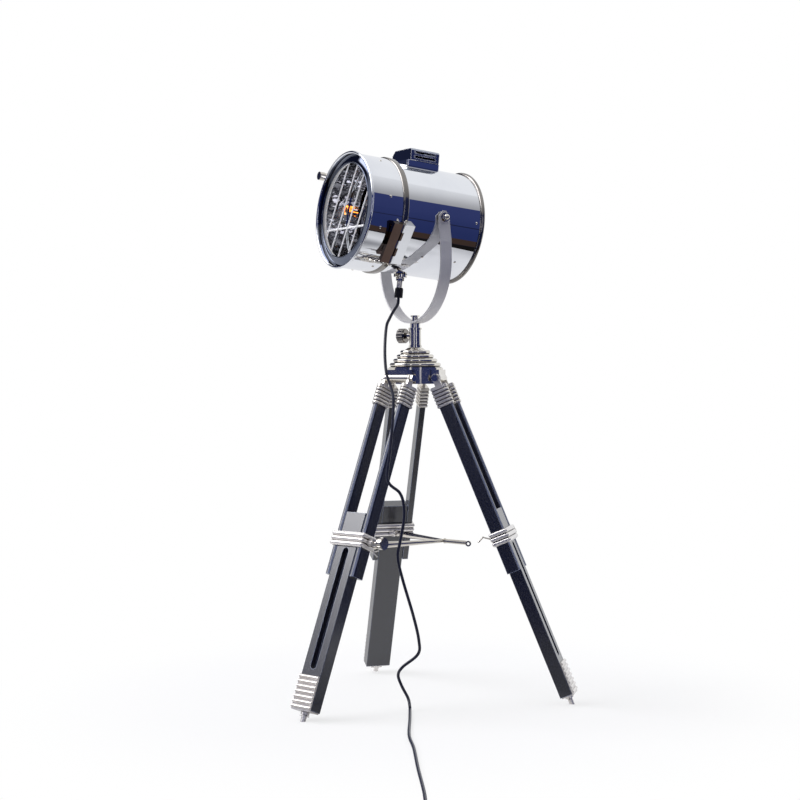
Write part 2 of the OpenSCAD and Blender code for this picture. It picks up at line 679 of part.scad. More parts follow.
hinge_bolt_r = 4;
tang_t = 6;
lug_r = 10;
lug_half = rail_t - tang_t / 2 - play;
tang_r = 9;                     // radius of a ferrule's tang round its bolt
skirt_drop = 12;                // how far the crown's skirt reaches below the leg hinges
skirt_in = 2.5;                 // how far it stands back from the crown plate's edge
module crown_lugs() {
    color(NICKEL) difference() {
        union() {
            for (i = [0 : 2]) rotate([0, 0, leg_azimuth[i]]) translate([leg_hinge_r, 0, leg_hinge_z]) {
                rod_y(lug_r, 2 * lug_half + 4);
                translate([-lug_r, -lug_half - 2, 0])
                    cube([2 * lug_r - 3, 2 * lug_half + 4, crown_z - leg_hinge_z - 0.05]);
            }
            translate([0, 0, leg_hinge_z - skirt_drop])
                cylinder(r = crown_r - skirt_in, h = crown_z - leg_hinge_z + skirt_drop - 0.05);
        }
        for (i = [0 : 2]) rotate([0, 0, leg_azimuth[i]]) translate([leg_hinge_r, 0, leg_hinge_z]) {
            rod_y(hinge_bolt_r + 0.05, 3 * lug_half);
            // the skirt is cut away where the legs' tangs and the bolts' nuts stand
            for (s = [-1, 1]) translate([-tang_r - 2, s * (lug_half + 30) - 30, -2 * skirt_drop])
                cube([3 * lug_r, 60, 4 * skirt_drop]);
        }
        translate([0, 0, crown_z - 60]) cylinder(r = 30, h = 90);
    }
}
bolt_end = rail_t + tang_t / 2 + play;
module leg_bolts() {
    color(NICKEL) for (i = [0 : 2]) rotate([0, 0, leg_azimuth[i]]) translate([leg_hinge_r, 0, leg_hinge_z]) {
        rod_y(hinge_bolt_r, 2 * bolt_end + 12);
        for (s = [-1, 1]) translate([0, s * (bolt_end + 3.5), 0]) rotate([90, 0, 0])
            cylinder(r = 7.6, h = 7, center = true, $fn = 6);
    }
}

// ---------------------------------------------------------------- legs
ferrule_top = 17;
ferrule_end = 63;
ferrule_wall = 2;
ferrule_ribs = 6;
rail_top = ferrule_top + 10;
module rail_outline(grow) {
    // a rail's section: flat inside and at the sides, round along its outer edge
    w = rail_w + 2 * grow;
    translate([-rail_d / 2 - grow, -w / 2]) square([rail_d - rail_w / 2 + grow, w]);
    translate([rail_d / 2 - rail_w / 2, 0]) circle(w / 2);
}
module ferrules(i) {
    color(NICKEL) leg_frame(i) for (s = [-1, 1]) translate([0, s * rail_t, 0]) difference() {
        union() {
            translate([0, 0, -ferrule_end]) linear_extrude(ferrule_end - ferrule_top) rail_outline(ferrule_wall);
            for (k = [0 : ferrule_ribs - 1])
                translate([0, 0, -ferrule_end + (ferrule_end - ferrule_top) * (k + 0.15) / ferrule_ribs])
                    linear_extrude((ferrule_end - ferrule_top) / ferrule_ribs * 0.6)
                        rail_outline(ferrule_wall + 1.3);
            rod_y(tang_r, tang_t);
            translate([-7, -tang_t / 2, -ferrule_top]) cube([14, tang_t, ferrule_top]);
        }
        translate([0, 0, -ferrule_end - 1]) linear_extrude(ferrule_end + 1 - rail_top) rail_outline(0.1);
        rod_y(hinge_bolt_r + pin_play, 30);
    }
}
module rails(i) {
    color(TIMBER) leg_frame(i) for (s = [-1, 1]) translate([0, s * rail_t, -rail_end])
        linear_extrude(rail_end - rail_top - play) rail_outline(0);
}
clamp_in_x = rail_d / 2 + play;
clamp_in_y = rail_t + rail_w / 2 + play;
clamp_wall = 2.5;
clamp_rib_r = clamp_h / clamp_ribs / 2;
knob_y = 78;                    // where the clamp screw's knob starts, round the crown
knob_l = 13;
boss_l = 16;
module clamp_band() {
    x = clamp_in_x + 1;
    y = clamp_in_y + 1;
    difference() {
        union() {
            cube([2 * (clamp_in_x + clamp_wall), 2 * (clamp_in_y + clamp_wall), clamp_h], center = true);
            for (k = [0 : clamp_ribs - 1]) translate([0, 0, (k - (clamp_ribs - 1) / 2) * clamp_h / clamp_ribs]) {
                for (s = [-1, 1]) translate([s * x, 0, 0]) rod_y(clamp_rib_r, 2 * y);
                for (s = [-1, 1]) translate([0, s * y, 0]) rod_x(clamp_rib_r, 2 * x);
                for (s = [-1, 1], m = [-1, 1]) translate([s * x, m * y, 0]) sphere(clamp_rib_r);
            }
        }
        cube([2 * clamp_in_x, 2 * clamp_in_y, 2 * clamp_h], center = true);
    }
}
bracket_x = clamp_in_x + clamp_rib_r + 14;  // the spreader pin's distance in from the leg's middle
module clamp(i) {
    color(NICKEL) leg_frame(i) translate([0, 0, -clamp_s]) difference() {
        union() {
            clamp_band();
            translate([0, clamp_in_y + clamp_wall + boss_l / 2, 0]) rod_y(7, boss_l);
            if (i != 1) spreader_ears(i);
            if (i == 0) split_pin();
            if (i == 1) spreader_eye();
        }
        translate([0, clamp_in_y + 20, 0]) rod_y(3 + pin_play, 44);
        cube([2 * clamp_in_x, 2 * clamp_in_y, 2 * clamp_h], center = true);
    }
}
// A split pin through the clamp's lower edge, its two ends spread.
module split_pin() {
    y = clamp_in_y + clamp_wall + 1.5;
    z = -clamp_h / 2 + 1;
    back = -clamp_in_x - 4;
    wire_between([clamp_in_x, y, z], [back, y, z - 1]);
    wire_between([back, y, z - 1], [back - 9, y + 5, z - 7]);
    wire_between([back, y, z - 1], [back - 7, y + 7, z + 5]);
}
module clamp_screw(i) {
    color(NICKEL) leg_frame(i) translate([0, 0, -clamp_s]) rotate([-90, 0, 0]) {
        translate([0, 0, clamp_in_y + 0.1]) cylinder(r = 3, h = knob_y - clamp_in_y + 2);
        translate([0, 0, knob_y]) difference() {
            union() {
                cylinder(r = knob_r, h = knob_l - 1.2);
                cylinder(r = knob_r - 1.5, h = knob_l);
            }
            for (k = [0 : 17]) rotate([0, 0, 20 * k]) translate([knob_r + 0.9, 0, 1.5])
                cylinder(r = 1.6, h = knob_l - 4, $fn = 12);
        }
    }
}
module plank(i) {
    color(TIMBER) leg_frame(i) difference() {
        translate([0, 0, -plank_end]) linear_extrude(plank_end - plank_top) round_rect(plank_d, plank_w, 1.2);
        groove_top = clamp_s + 18;
        groove_end = plank_end - 83;
        translate([plank_d / 2 - groove_d, 0, 0]) rotate([0, 90, 0]) linear_extrude(groove_d + 1) {
            translate([groove_top + groove_w / 2, -groove_w / 2])
                square([groove_end - groove_top - groove_w, groove_w]);
            translate([groove_top + groove_w / 2, 0]) circle(groove_w / 2);
            translate([groove_end - groove_w / 2, 0]) circle(groove_w / 2);
        }
    }
}
foot_l = 72;
foot_t = 2.4;
foot_w = plank_w - 2;
module foot(i) {
    x = plank_d / 2 + 0.2;
    pitch = foot_l / foot_ribs;
    color(NICKEL) difference() {
        leg_frame(i) {
            translate([x, -foot_w / 2, -plank_end - foot_t - 0.2]) cube([foot_t, foot_w, foot_l]);
            for (k = [0 : foot_ribs - 1]) intersection() {
                translate([x + foot_t - 0.6, 0, -plank_end + (k + 0.5) * pitch - 1]) rod_y(pitch * 0.34, foot_w);
                translate([x, -foot_w / 2, -plank_end - 3]) cube([20, foot_w, foot_l + 6]);
            }
            translate([-plank_d / 2 + 3, -foot_w / 2, -plank_end - foot_t - 0.2])
                cube([x + plank_d / 2 - 3 + foot_t, foot_w, foot_t]);
            translate([0, 0, -plank_end - foot_t - 6]) cylinder(r = 9, h = 6);
            translate([0, 0, -plank_end - 34]) cylinder(r = 5.5, h = 34 - foot_t);
            translate([0, 0, -plank_end - 11]) rod_y(1.3, 26);
        }
        translate([0, 0, -foot_l]) cube([4 * plank_end, 4 * plank_end, 2 * foot_l], center = true);
    }
}

// ---------------------------------------------------------------- spreader
// Everything here lies in the room's frame at rest, on rods that run level.
hook_wire = 1.2;
eye_wire = 1.6;
eye_r = hook_wire + play + eye_wire;
eye_x = clamp_in_x + clamp_rib_r + eye_r + 0.6;   // the eye's distance in from the leg's middle
function polar(r, a) = [r * cos(a), r * sin(a)];
hub = polar(hub_r, leg_azimuth[1]);
clamp_out = leg_hinge_r + clamp_s * sin(leg_splay);
clamp_z = leg_hinge_z - clamp_s * cos(leg_splay);
pin_out = clamp_out - bracket_x * cos(leg_splay);
function rod_pin(i) = polar(pin_out, leg_azimuth[i]);
function heading(a, b) = atan2(b[1] - a[1], b[0] - a[0]);
function rod_heading(i) = heading(rod_pin(i), hub);
function rod_length(i) = norm(hub - rod_pin(i));
pin_z = clamp_z - bracket_x * sin(leg_splay);
eye_pos = polar(clamp_out - eye_x * cos(leg_splay), leg_azimuth[1]);
eye_z = clamp_z - eye_x * sin(leg_splay);
ear_gap = 9;
ear_t = 3;
tip_gap = 5;                    // the open pivot's gap, along the rod
// a frame at a rod's pin, X along the rod towards the hub
module pin_frame(i) {
    translate([rod_pin(i)[0], rod_pin(i)[1], pin_z]) rotate([0, 0, rod_heading(i)]) children();
}
// the pair of ears on the clamp, drawn in the clamp's own frame
module spreader_ears(i) {
    skew = rod_heading(i) - leg_azimuth[i] - 180;
    translate([-bracket_x, 0, 0]) rotate([0, leg_splay, 0]) rotate([0, 0, 180 + skew]) {
        for (s = [-1, 1]) translate([0, s * (ear_gap / 2 + ear_t / 2), 0]) {
            rod_y(7, ear_t);
            translate([-17, -ear_t / 2, -6]) cube([17, ear_t, 12]);
        }
        rod_y(2, ear_gap + 2 * ear_t + 2);
    }
}
module spreader_eye() {
    translate([-eye_x, 0, 0]) rotate([90, 0, 0]) rotate_extrude($fn = 32)
        translate([eye_r, 0]) circle(eye_wire, $fn = 16);
}
module spreader_rod(i) {
    l = rod_length(i) - (i == 0 ? tip_gap : play);
    color(NICKEL) pin_frame(i) difference() {
        union() {
            rod_y(6, ear_gap - 2 * play);
            translate([0, -ear_gap / 2 + play, -5]) cube([24, ear_gap - 2 * play, 10]);
            translate([22, 0, 0]) rotate([0, 90, 0]) cylinder(r1 = rod_r, r2 = rod_tip_r, h = l - 22, $fn = 48);
            translate([20, 0, 0]) rotate([0, 90, 0]) cylinder(r = rod_r + 0.8, h = 6);
        }
        rod_y(2 + pin_play, 40);
    }
}
hub_l = 44;
module spreader_hub() {
    // the thin end of rod C carries the joining tube and its eye
    drop = 3;
    color(NICKEL) difference() {
        translate([hub[0], hub[1], pin_z]) rotate([0, 0, leg_azimuth[1]]) {
            rotate([0, 90 + atan(drop / hub_l), 0]) cylinder(r = 4.6, h = hub_l + 4);
            rotate([0, 90, 0]) cylinder(r = 5.6, h = 4);
            translate([hub_l + 9, 0, -drop - 2]) rotate([90, 0, 0]) difference() {
                cylinder(r = 6, h = 5, center = true);
                cylinder(r = 3, h = 9, center = true);
            }
        }
        // the socket for the thin end of rod C
        pin_frame(2) translate([rod_length(2) - 14, 0, 0]) rotate([0, 90, 0])
            cylinder(r = rod_tip_r + 0.4, h = 14 - play / 2);
    }
}
module spreader_hook() {
    // a bent wire: a cross pin in the clamp's eye, two sides and two open hooks
    side = eye_wire + hook_wire + 0.8;
    neck = 22;
    reach = 31;
    color(NICKEL) translate([eye_pos[0], eye_pos[1], eye_z]) rotate([0, 0, leg_azimuth[1] + 180]) {
        rod_y(hook_wire, 2 * side);
        for (s = [-1, 1]) {
            wire_between([0, s * side, 0], [neck, s * 2.2, 5]);
            wire_between([neck, s * 2.2, 5], [reach, s * 6, -5]);
        }
        translate([neck, 0, 5]) rod_y(hook_wire + 0.6, 5.5);
    }
}
// a straight wire with round ends between two points
module wire_between(a, b) {
    v = b - a;
    l = norm(v);
    translate(a) rotate([0, acos(v[2] / l), atan2(v[1], v[0])]) cylinder(r = hook_wire, h = l);
    translate(a) sphere(hook_wire + 0.15);
    translate(b) sphere(hook_wire + 0.15);
}

// ---------------------------------------------------------------- mains lead
// The lead's route from the gland, over the floor to the coil, in the room's frame.
cord_exit = [0, -gland_d * cos(head_tilt) + relief_end * sin(head_tilt),
             pivot_z + gland_d * sin(head_tilt) + relief_end * cos(head_tilt)];
floor_z = cord_d / 2;
cord_out = [0, -sin(head_tilt), -cos(head_tilt)];       // the way it leaves the gland
route = [cord_exit, cord_exit + 14 * cord_out, [10, -60, 826], [20, -74, 812],
    [32, -88, 796], [50, -102, 760], [66, -111, 724], [80, -115, 694],
    [94, -113, 668], [107, -115, 643], [116, -122, 602], [124, -133, 541], [127, -141, 480],
    [141, -121, 454], [145, -114, 429], [145, -114, 395], [141, -121, 352], [139, -125, 321],
    [141, -115, 276], [145, -93, 202], [140, -77, 149], [129, -73, 118], [103, -94, 90],
    [87, -96, 71], [89, -89, 48], [101, -81, 24], [115, -85, 10], [128, -92, floor_z],
    [205, -137, floor_z], [330, -211, floor_z], [430, -259, floor_z], [568, -331, floor_z],
    [700, -398, floor_z], [760, -430, floor_z], [830, -470, floor_z]];
yoke_from = 3;                  // the route point where the lead leaves the head's own stretch
floor_from = 7;                 // and the one from which it hangs from the crown
cord_sides = 8;
function unit(v) = v / norm(v);
// A point on the smooth curve through four route points, at the share t of the middle span.
function spline(a, b, c, d, t) = 0.5 * ((2 * b) + (c - a) * t + (2 * a - 5 * b + 4 * c - d) * t * t
    + (3 * b - a - 3 * c + d) * t * t * t);
function on_floor(p) = [p[0], p[1], max(p[2], floor_z)];
function smooth(p, n) = concat(
    [for (i = [0 : len(p) - 2], k = [0 : n - 1])
        on_floor(spline(p[max(i - 1, 0)], p[i], p[i + 1], p[min(i + 2, len(p) - 1)], k / n))],
    [p[len(p) - 1]]);
// The way the path runs at point i; both ends run as told.
function heading_at(p, i, first, last) = i == 0 ? first : i == len(p) - 1 ? last : unit(p[i + 1] - p[i - 1]);
// Ring i of the tube: points round the path at right angles to it.
function tube_ring(p, i, r, n, first, last) = let (
        h = heading_at(p, i, first, last),
        side = unit(cross(h, abs(h[2]) > 0.8 ? [0.5, 0.86, 0] : [0, 0, 1])),
        up = cross(side, h))
    [for (k = [0 : n - 1]) p[i] + r * (cos(360 * k / n) * side + sin(360 * k / n) * up)];
// Each ring starts at the corner nearest the last ring's first corner.
function turned_ring(ring_points, first) = let (
        n = len(ring_points),
        far = [for (q = ring_points) norm(q - first)],
        s = search(min(far), far)[0])
    [for (k = [0 : n - 1]) ring_points[(k + s) % n]];
function tube_rings(p, r, n, first, last, i = 0, done = []) = i == len(p) ? done :
    let (fresh = tube_ring(p, i, r, n, first, last))
    tube_rings(p, r, n, first, last, i + 1,
        concat(done, [i == 0 ? fresh : turned_ring(fresh, done[i - 1][0])]));
// The closed tube through rings a to b, with its middle line p.
module tube(p, all_rings, a, b) {
    rings = [for (i = [a : b]) all_rings[i]];
    n = len(rings[0]);
    last = b - a;
    points = concat([for (ring_i = rings, q = ring_i) q], [p[a], p[b]]);
    sides = [for (i = [0 : last - 1], k = [0 : n - 1]) let (
            a = i * n + k, b = i * n + (k + 1) % n, c = b + n, d = a + n)
        each [[a, c, b], [a, d, c]]];
    caps = [for (k = [0 : n - 1]) each [
        [len(points) - 2, k, (k + 1) % n],
        [len(points) - 1, last * n + (k + 1) % n, last * n + k]]];
    polyhedron(points, concat(sides, caps), convexity = 6);
}
route_end = len(route) - 1;
route_steps = 2;                // rings for each span of the route
cord_path = smooth(route, route_steps);
cord_rings = tube_rings(cord_path, cord_d / 2, cord_sides, cord_out, unit(route[route_end] - route[route_end - 1]));
module cord_run(from, to) { color(BLACK) tube(cord_path, cord_rings, route_steps * from, route_steps * to); }
module cord_head() { cord_run(0, yoke_from); }
module cord_yoke() { cord_run(yoke_from, floor_from); }
module cord_floor() { cord_run(floor_from, route_end); }

// The coil: the loops spiral in on the floor, climb a layer in a half turn and spiral out again.
coil_pitch = cord_d + 0.6;
coil_steps = 24;
coil_half = coil_loops / 2;
coil_entry = route[route_end];
coil_heading = heading(route[route_end - 1], coil_entry);
coil_outer = coil_r + coil_pitch * (coil_half - 1) / 2 + coil_pitch / 2;
function coil_radius(turn) = coil_outer - coil_pitch * (turn < coil_half ? turn : coil_loops - turn);
function coil_layer(turn) = min(max((turn - coil_half + 0.25) / 0.5, 0), 1);
function coil_point(turn) = [
    coil_radius(turn) * sin(360 * turn),
    -coil_radius(turn) * cos(360 * turn),
    floor_z + coil_pitch * coil_layer(turn)];
coil_turns = [for (k = [0 : coil_loops * coil_steps]) k / coil_steps];
lead_in = [[-2 * cord_d, -coil_outer, floor_z], [-cord_d, -coil_outer, floor_z]];
tail_z = floor_z + coil_pitch;
tail_l = 3.5 * cord_d;          // straight length from the coil to the plug
lead_out = [[cord_d, -coil_outer, tail_z], [tail_l / 2, -coil_outer, tail_z], [tail_l, -coil_outer, tail_z]];
coil_path = concat(lead_in, [for (t = coil_turns) coil_point(t)], lead_out);
coil_gap = min([for (i = [0 : len(coil_path) - 1], j = [0 : len(coil_path) - 1])
    if (j > i + 6) norm(coil_path[i] - coil_path[j])]) - cord_d;
module coil_frame() {
    translate([coil_entry[0], coil_entry[1], 0]) rotate([0, 0, coil_heading])
        translate([2 * cord_d, coil_outer, 0]) children();
}
module cord_coil() {
    echo("least gap of the coil to itself, in mm", coil_gap);
    coil_rings = tube_rings(coil_path, cord_d / 2, 6, [1, 0, 0], [1, 0, 0]);
    color(BLACK) coil_frame() tube(coil_path, coil_rings, 0, len(coil_path) - 1);
}
plug_w = 34;
plug_l = 36;
plug_t = 2 * tail_z;
plug_pin_r = 2.4;
neck_l = 18;                    // length of the plug's bend protection
module plug() {
    color(BLACK) coil_frame() translate([tail_l, -coil_outer, tail_z]) {
        rotate([0, 90, 0]) cylinder(r1 = cord_d / 2 + 1.2, r2 = 7.5, h = neck_l, $fn = 32);
        translate([neck_l, 0, 0]) rotate([0, 90, 0]) linear_extrude(plug_l) round_rect(plug_t, plug_w, 6);
    }
    color(NICKEL) coil_frame() translate([tail_l + neck_l + plug_l - 1, -coil_outer, tail_z])
        for (s = [-1, 1]) translate([0, s * 9.5, 0]) rotate([0, 90, 0]) cylinder(r = plug_pin_r, h = 20);
}

// ---------------------------------------------------------------- the named pieces
drum_shell();
rear_cap();
band_ring();
vent_base();
vent_box();
reflector();
socket_bracket();
lamp_holder();
bulb_glass();
bulb_cap();
drum_hinge_leaf();
drum_latch_lug();
tilt_bolts();
cable_gland();
strain_relief();
drum_screws();
door_barrel();
door_bezel();
door_grille();
door_hinge_leaf();
door_hinge_pin();
door_latch_lug();
door_screws();
latch_screw();
yoke_strap();
yoke_bolt();
yoke_spindle();
pan_screw();
crown_top();
crown_barrel();
crown_lugs();
leg_bolts();
ferrules(0);  // ferrules_a
rails(0);  // rails_a
clamp(0);  // clamp_a
clamp_screw(0);  // clamp_screw_a
plank(0);  // plank_a
foot(0);  // foot_a
ferrules(1);  // ferrules_b
rails(1);  // rails_b
clamp(1);  // clamp_b
clamp_screw(1);  // clamp_screw_b
plank(1);  // plank_b
foot(1);  // foot_b
ferrules(2);  // ferrules_c
rails(2);  // rails_c
clamp(2);  // clamp_c
clamp_screw(2);  // clamp_screw_c
plank(2);  // plank_c
foot(2);  // foot_c
spreader_rod(0);  // spreader_rod_a
spreader_rod(2);  // spreader_rod_c
spreader_hub();
spreader_hook();
cord_head();
cord_yoke();
cord_floor();
cord_coil();
plug();
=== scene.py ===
"""A tripod spotlight floor lamp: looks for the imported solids, in metres, in their own frame."""
import json
import math
import random

import bpy
import numpy as np
from mathutils import Matrix, Vector


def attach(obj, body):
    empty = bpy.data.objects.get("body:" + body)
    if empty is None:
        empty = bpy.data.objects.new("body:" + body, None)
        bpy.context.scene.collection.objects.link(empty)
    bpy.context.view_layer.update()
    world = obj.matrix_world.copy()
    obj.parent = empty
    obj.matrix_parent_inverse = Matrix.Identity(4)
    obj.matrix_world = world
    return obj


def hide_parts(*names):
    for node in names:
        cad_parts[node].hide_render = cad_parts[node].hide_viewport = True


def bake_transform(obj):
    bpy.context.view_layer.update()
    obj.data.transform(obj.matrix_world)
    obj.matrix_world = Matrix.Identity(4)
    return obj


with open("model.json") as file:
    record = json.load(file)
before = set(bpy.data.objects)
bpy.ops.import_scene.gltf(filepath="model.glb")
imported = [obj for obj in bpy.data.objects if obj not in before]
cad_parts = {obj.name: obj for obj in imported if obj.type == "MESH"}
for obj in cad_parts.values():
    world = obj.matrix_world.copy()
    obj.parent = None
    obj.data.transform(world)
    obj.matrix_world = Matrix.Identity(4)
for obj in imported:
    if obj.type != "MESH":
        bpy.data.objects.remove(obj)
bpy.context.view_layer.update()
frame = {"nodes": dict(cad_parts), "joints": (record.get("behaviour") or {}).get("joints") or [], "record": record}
NODES = frame["nodes"]
JOINTS = {joint["name"]: joint for joint in frame["joints"]}
MM = 0.001

# ------------------------------------------------------------------ camera
# The photograph's viewpoint: to the lamp's front left, a little above the leg hinges.
UP = Vector((0, 0, 1))
BACK = Vector((0.863, -0.5045, 0.0)).normalized()       # from the lamp to the camera
RIGHT = UP.cross(BACK)                                  # to the picture's right
EYE = BACK * 3.64 + UP * 0.710
SENSOR_MM, FRAME_PX, FOCAL_PX = 36.0, 800.0, 1700.0
CROWN_PX, HORIZON_PX = 15.5, 33.0       # the crown axis stands right of the middle, the horizon above
YAW = math.atan(CROWN_PX / FOCAL_PX)
PITCH = math.atan(HORIZON_PX / FOCAL_PX)
ROLL = math.radians(0.32)


def make_camera():
    """The camera, turned by yaw, pitch and roll from a level look at the crown axis."""
    look = -BACK * math.cos(YAW) - RIGHT * math.sin(YAW)
    look = look * math.cos(PITCH) - UP * math.sin(PITCH)
    side = look.cross(UP).normalized()
    above = side.cross(look)
    rolled_side = side * math.cos(ROLL) - above * math.sin(ROLL)
    rolled_above = above * math.cos(ROLL) + side * math.sin(ROLL)
    data = bpy.data.cameras.new("camera")
    data.sensor_width = SENSOR_MM
    data.lens = SENSOR_MM * FOCAL_PX / FRAME_PX
    data.clip_start, data.clip_end = 0.05, 100
    camera = bpy.data.objects.new("camera", data)
    bpy.context.scene.collection.objects.link(camera)
    axes = Matrix((rolled_side, rolled_above, -look)).transposed().to_4x4()
    camera.matrix_world = Matrix.Translation(EYE) @ axes
    bpy.context.scene.camera = camera


make_camera()


# ------------------------------------------------------------------ mesh helpers
def add_mesh(name, points, faces, smooth=True):
    """A mesh object from points and faces, linked to the scene."""
    mesh = bpy.data.meshes.new(name)
    mesh.from_pydata([tuple(p) for p in points], [], faces)
    mesh.validate()
    mesh.update()
    if smooth:
        mesh.shade_smooth()
    obj = bpy.data.objects.new(name, mesh)
    bpy.context.scene.collection.objects.link(obj)
    return obj


def ring_faces(rings, around):
    """The faces between rings of points, each ring closed on itself."""
    faces = []
    for i in range(rings - 1):
        for k in range(around):
            a, b = i * around + k, i * around + (k + 1) % around
            faces.append((a, b, b + around, a + around))
    return faces


def frames_along(path, first, last):
    """A side vector and an up vector at each point of the path, carried along without twist.
    The path sets off in the direction first and arrives in the direction last."""
    side_hint = Vector((0.5, 0.86, 0))      # any direction that the path doesn't start in
    frames, side = [], None
    for i in range(len(path)):
        if i == 0:
            ahead = Vector(first)
        elif i == len(path) - 1:
            ahead = Vector(last)
        else:
            ahead = path[i + 1] - path[i - 1]
        ahead.normalize()
        if side is None:
            side = ahead.cross(side_hint)
        side = (side - ahead * side.dot(ahead)).normalized()
        frames.append((side.copy(), ahead.cross(side)))
    return frames


def tube_mesh(name, path, outline, first, last):
    """A closed tube along the path whose section is outline, a list of (across, up) pairs."""
    points = []
    for p, (side, up) in zip(path, frames_along(path, first, last)):
        points += [p + side * a + up * b for a, b in outline]
    around = len(outline)
    caps = [tuple(reversed(range(around))), tuple(range(len(points) - around, len(points)))]
    return add_mesh(name, points, ring_faces(len(path), around) + caps)


# ------------------------------------------------------------------ head
HEAD_TILT = math.radians(6.2)           # the lamp looks up by this much at rest
TILT_SIN, TILT_COS = math.sin(HEAD_TILT), math.cos(HEAD_TILT)
HEAD_AHEAD = Vector((0, -TILT_COS, TILT_SIN))
HEAD_DOWN = Vector((0, -TILT_SIN, -TILT_COS))
PIVOT = Vector((0, 0, 1020.0))          # of the tilt, in millimetres
# brings a shape turned about Z into the head, with its +Z ahead
TURNED = (Matrix.Translation(PIVOT * MM) @ Matrix.Rotation(-HEAD_TILT, 4, "X")
          @ Matrix.Rotation(math.pi / 2, 4, "X"))

# ------------------------------------------------------------------ mains lead
# Its lengths are in millimetres, and the route repeats that of the solids.
CORD_D = 6.4
FLOOR_Z = CORD_D / 2                        # the height of its middle where it lies
GLAND_AHEAD, RELIEF_DOWN = 23.0, 166.0      # the strain relief's end, from the tilt pivot
EXIT_STRAIGHT = 14                          # what the lead runs straight before its first bend
CORD_EXIT = Vector((0, -GLAND_AHEAD * TILT_COS - RELIEF_DOWN * TILT_SIN,
                    PIVOT.z + GLAND_AHEAD * TILT_SIN - RELIEF_DOWN * TILT_COS))
ROUTE = [CORD_EXIT, CORD_EXIT + EXIT_STRAIGHT * HEAD_DOWN] + [Vector(p) for p in (
    (10, -60, 826), (20, -74, 812), (32, -88, 796), (50, -102, 760), (66, -111, 724),
    (80, -115, 694), (94, -113, 668), (107, -115, 643), (116, -122, 602), (124, -133, 541),
    (127, -141, 480), (141, -121, 454), (145, -114, 429), (145, -114, 395), (141, -121, 352),
    (139, -125, 321), (141, -115, 276), (145, -93, 202), (140, -77, 149), (129, -73, 118),
    (103, -94, 90), (87, -96, 71), (89, -89, 48), (101, -81, 24), (115, -85, 10),
    (128, -92, FLOOR_Z), (205, -137, FLOOR_Z), (330, -211, FLOOR_Z), (430, -259, FLOOR_Z),
    (568, -331, FLOOR_Z), (700, -398, FLOOR_Z), (760, -430, FLOOR_Z), (830, -470, FLOOR_Z))]
YOKE_FROM, CROWN_FROM = 3, 7                # the route points where the lead goes over to each
CORD_STEPS = 8                              # of the path, from one route point to the next
COIL_LOOPS, COIL_STEPS = 4, 36
COIL_R = 37.0                               # the middle radius of its turns
COIL_GAP = 0.6                              # what the turns of the coil stand apart
COIL_CLIMB = 0.5                            # the part of a turn in which it goes up a layer


def spline(a, b, c, d, t):
    """A point on the smooth curve through four route points, at the share t of the middle span."""
    return 0.5 * (2 * b + (c - a) * t + (2 * a - 5 * b + 4 * c - d) * t * t
                  + (3 * b - a - 3 * c + d) * t ** 3)


def route_path(start, end):
    """The smooth path from one route point to another."""
    path = []
    for i in range(start, end):
        around = [ROUTE[min(max(i + k, 0), len(ROUTE) - 1)] for k in (-1, 0, 1, 2)]
        path += [spline(*around, k / CORD_STEPS) for k in range(CORD_STEPS)]
    path.append(ROUTE[end].copy())
    return [Vector((p.x, p.y, max(p.z, FLOOR_Z))) for p in path]


def coil_path():
    """The coil on the floor: in on the lower layer, up a layer where it turns, and out again."""
    pitch, half = CORD_D + COIL_GAP, COIL_LOOPS / 2
    outer = COIL_R + pitch * (half - 1) / 2 + pitch / 2
    lead_in, tail = CORD_D, 3.5 * CORD_D
    path = [Vector((-lead_in, -outer, FLOOR_Z))]
    for k in range(COIL_LOOPS * COIL_STEPS + 1):
        turn = k / COIL_STEPS
        r = outer - pitch * (turn if turn < half else COIL_LOOPS - turn)
        layer = min(max((turn - half + COIL_CLIMB / 2) / COIL_CLIMB, 0), 1)
        a = 2 * math.pi * turn
        path.append(Vector((r * math.sin(a), -r * math.cos(a), FLOOR_Z + pitch * layer)))
    path += [Vector((tail * share, -outer, FLOOR_Z + pitch)) for share in (0.3, 0.65, 1.0)]
    arrival = ROUTE[-1] - ROUTE[-2]
    heading = math.atan2(arrival.y, arrival.x)
    place = (Matrix.Translation((ROUTE[-1].x, ROUTE[-1].y, 0)) @ Matrix.Rotation(heading, 4, "Z")
             @ Matrix.Translation((2 * lead_in, outer, 0)))
    return [place @ p for p in path], heading


def cord_outline():
    """The lead's section in metres: nearly round, a touch lower than wide."""
    sides, flatten = 16, 0.98
    angles = [2 * math.pi * k / sides for k in range(sides)]
    return [(CORD_D / 2 * MM * math.cos(a), CORD_D / 2 * MM * math.sin(a) * flatten) for a in angles]


def make_cords():
    """Three stretches of one lead: head to yoke, yoke to crown, and crown to coil and plug."""
    coil, heading = coil_path()
    runs = (("cord_upper", route_path(0, YOKE_FROM), ["cord_head"]),
            ("cord_middle", route_path(YOKE_FROM, CROWN_FROM), ["cord_yoke"]),
            ("cord_lower", route_path(CROWN_FROM, len(ROUTE) - 1) + coil, ["cord_floor", "cord_coil"]))
    joins = [(ROUTE[i + 1] - ROUTE[i - 1]).normalized() for i in (YOKE_FROM, CROWN_FROM)]
    ways = [HEAD_DOWN, *joins, Vector((math.cos(heading), math.sin(heading), 0))]
    made = []
    for i, (name, path_mm, nodes) in enumerate(runs):
        path = [p * MM for p in path_mm]
        obj = tube_mesh(name, path, cord_outline(), ways[i], ways[i + 1])
        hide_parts(*nodes)
        made.append(obj)
    upper, middle, lower = made
    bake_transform(upper)
    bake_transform(middle)
    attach(lower, "crown")
    return made


CORDS = make_cords()


